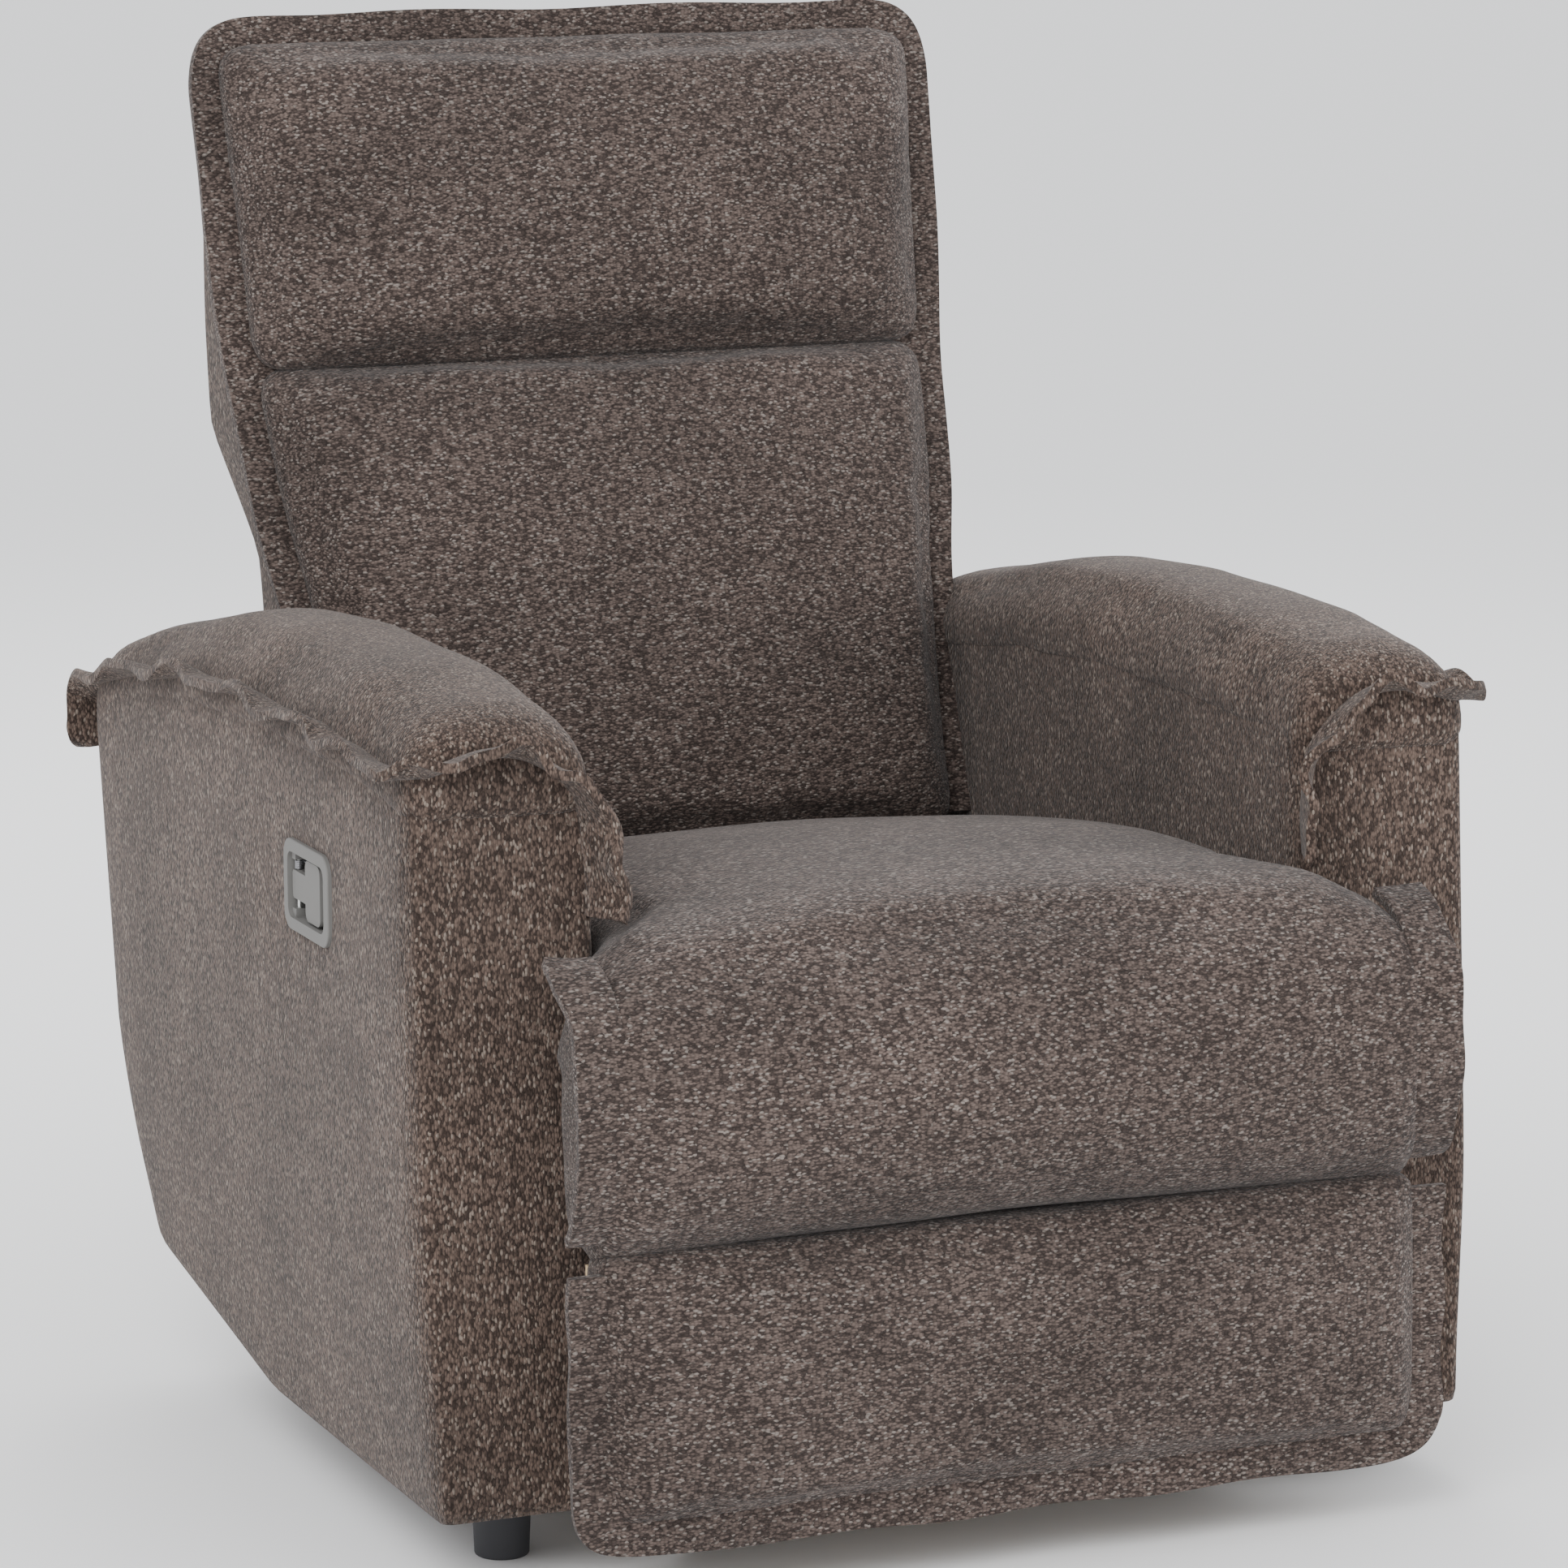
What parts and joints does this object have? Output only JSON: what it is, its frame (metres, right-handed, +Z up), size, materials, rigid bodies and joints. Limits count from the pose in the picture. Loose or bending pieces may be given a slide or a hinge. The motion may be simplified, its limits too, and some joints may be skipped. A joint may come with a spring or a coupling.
{
  "type": "recliner armchair",
  "caption": "Upholstered manual recliner armchair with padded arms, a high back, a fold-out footrest on steel links and a pull handle in one arm.",
  "frame": {"origin": "on the floor, under the middle of the chair's box", "axes": "+Z up, -Y the way the sitter faces, +X the sitter's left"},
  "size_m": [0.824, 0.95, 1.015],
  "materials": {
    "upholstery": "woven chenille, grey-brown",
    "plywood": "raw plywood",
    "timber": "raw pine",
    "dark_plastic": "moulded, dark grey",
    "grey_plastic": "moulded, satin grey",
    "nylon": "natural nylon",
    "black_steel": "black powder coat",
    "zinc_steel": "bright zinc plate",
    "spring_steel": "oiled spring wire",
    "cable_sleeve": "black cable sleeve"
  },
  "bodies": {
    "base": {"arm_cover_left": "upholstery", "arm_cover_right": "upholstery", "arm_pad_left": "upholstery", "arm_pad_right": "upholstery", "rear_valance": "upholstery", "arm_inner_board_left": "plywood", "arm_inner_board_right": "plywood", "arm_outer_board_left": "plywood", "arm_outer_board_right": "plywood", "arm_blocks_left": "timber", "arm_blocks_right": "timber", "front_stretcher": "timber", "rear_stretcher": "timber", "feet": "dark_plastic", "foot_screws": "zinc_steel", "stretcher_bolts": "zinc_steel", "base_plate_left": "black_steel", "base_plate_right": "black_steel", "base_spacers": "zinc_steel", "base_bolts": "zinc_steel", "handle_plate": "grey_plastic", "handle_pin": "zinc_steel", "handle_spring": "spring_steel", "release_cable": "cable_sleeve", "latch_bracket": "black_steel"},
    "seat": {"carriage_plate_left": "black_steel", "carriage_plate_right": "black_steel", "slide_glides": "nylon", "seat_side_rails": "timber", "seat_front_rail": "timber", "seat_rear_rail": "timber", "seat_springs": "spring_steel", "seat_spring_clips": "nylon", "seat_cushion": "upholstery"},
    "back": {"back_stiles": "timber", "back_bottom_rail": "timber", "back_middle_rail": "timber", "back_top_rail": "timber", "back_springs": "spring_steel", "back_casing": "upholstery", "lumbar_pad": "upholstery", "headrest_pad": "upholstery", "back_brackets": "black_steel", "recline_pivot_bolts": "zinc_steel", "back_bracket_screws": "zinc_steel"},
    "drive": {"drive_links": "black_steel", "drive_rivets": "zinc_steel", "drive_tube": "black_steel", "drive_cross_bar": "black_steel"},
    "swing": {"swing_links": "black_steel"},
    "stay": {"stay_links": "black_steel", "stay_rivets": "zinc_steel"},
    "carry": {"carry_links": "black_steel", "carry_rivets": "zinc_steel"},
    "footrest": {"footrest_brackets": "black_steel", "footrest_board": "plywood", "footrest_screws": "zinc_steel", "footrest_pad": "upholstery"},
    "handle": {"handle_flap": "grey_plastic"},
    "latch": {"latch_pawl": "zinc_steel"}
  },
  "joints": [
    {"name": "seat_slide", "type": "slide", "parent": "base", "child": "seat", "axis": [0, -1, 0], "range_m": [0, 0.04]},
    {"name": "back_recline", "type": "hinge", "parent": "seat", "child": "back", "pos_m": [0, 0.25, 0.32], "axis": [-1, 0, 0], "range_deg": [0, 28]},
    {"name": "footrest_fold", "type": "hinge", "parent": "seat", "child": "drive", "pos_m": [0, -0.262, 0.208], "axis": [-1, 0, 0], "range_deg": [0, 82]},
    {"name": "swing_fold", "type": "hinge", "parent": "drive", "child": "swing", "pos_m": [0, -0.28903, 0.08084], "axis": [-1, 0, 0], "range_deg": [-144, 0]},
    {"name": "carry_fold", "type": "hinge", "parent": "swing", "child": "carry", "pos_m": [0, -0.31542, 0.23053], "axis": [-1, 0, 0], "range_deg": [0, 144]},
    {"name": "stay_fold", "type": "hinge", "parent": "drive", "child": "stay", "pos_m": [0, -0.29631, 0.04661], "axis": [-1, 0, 0], "range_deg": [-144, 0]},
    {"name": "footrest_tilt", "type": "hinge", "parent": "carry", "child": "footrest", "pos_m": [0, -0.35493, 0.04468], "axis": [-1, 0, 0], "range_deg": [0, 8]},
    {"name": "handle_pull", "type": "hinge", "parent": "base", "child": "handle", "pos_m": [-0.395, -0.092, 0.446], "axis": [0, 0, -1], "range_deg": [0, 35], "stiffness_Nm_per_rad": 0.15, "springref_deg": -5.73},
    {"name": "latch_turn", "type": "hinge", "parent": "base", "child": "latch", "pos_m": [-0.1545, -0.254, 0.121], "axis": [1, 0, 0], "range_deg": [0, 20]}
  ],
  "couplings": [
    {"joint": "back_recline", "follows": "seat_slide", "rad_per_m": 12.217},
    {"joint": "swing_fold", "follows": "footrest_fold", "ratio": -1.7561},
    {"joint": "carry_fold", "follows": "footrest_fold", "ratio": 1.7561},
    {"joint": "stay_fold", "follows": "footrest_fold", "ratio": -1.7561},
    {"joint": "footrest_tilt", "follows": "footrest_fold", "ratio": 0.09756},
    {"joint": "latch_turn", "follows": "handle_pull", "ratio": 0.57143}
  ]
}
